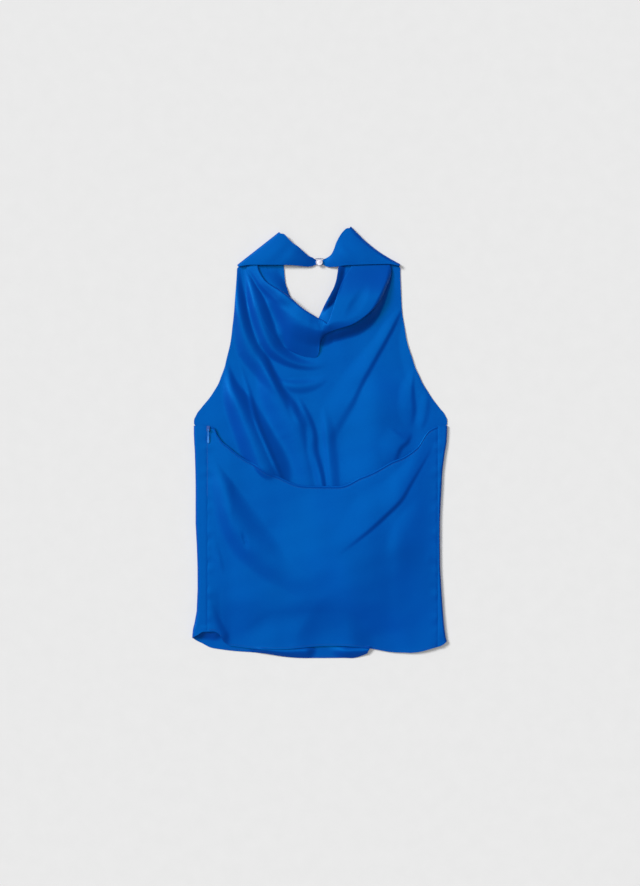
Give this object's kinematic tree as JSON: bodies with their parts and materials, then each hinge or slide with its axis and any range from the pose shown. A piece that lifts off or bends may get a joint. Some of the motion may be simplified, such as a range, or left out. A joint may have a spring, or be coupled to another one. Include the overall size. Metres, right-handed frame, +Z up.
{
  "type": "halter neck top",
  "caption": "Sleeveless satin halter neck top laid flat, back up, with a draped cowl, low back, turned neck straps joined by a button and a side zip.",
  "frame": {"origin": "middle of the laid garment's outline, on the surface it lies on", "axes": "+X to the right seen from above, +Y from hem to neck, +Z up from the surface through the back panel"},
  "size_m": [0.4084, 0.6901, 0.0162],
  "materials": {
    "satin": "soft satin sheen",
    "button": "pearl gloss",
    "thread": "matt sewing thread",
    "zip_enamel": "glossy enamel"
  },
  "bodies": {
    "top": {"front_panel": "satin", "neck_strap_left": "satin", "neck_strap_right": "satin", "back_panel": "satin", "cowl_facing": "satin", "neck_button": "button", "button_loop": "thread", "zip_slider": "zip_enamel"},
    "pull": {"zip_pull": "zip_enamel"}
  },
  "joints": [
    {"name": "pull_hinge", "type": "hinge", "parent": "top", "child": "pull", "pos_m": [-0.178, 0.0193, 0.00965], "axis": [-1, 0, 0], "range_deg": [0, 150]}
  ]
}
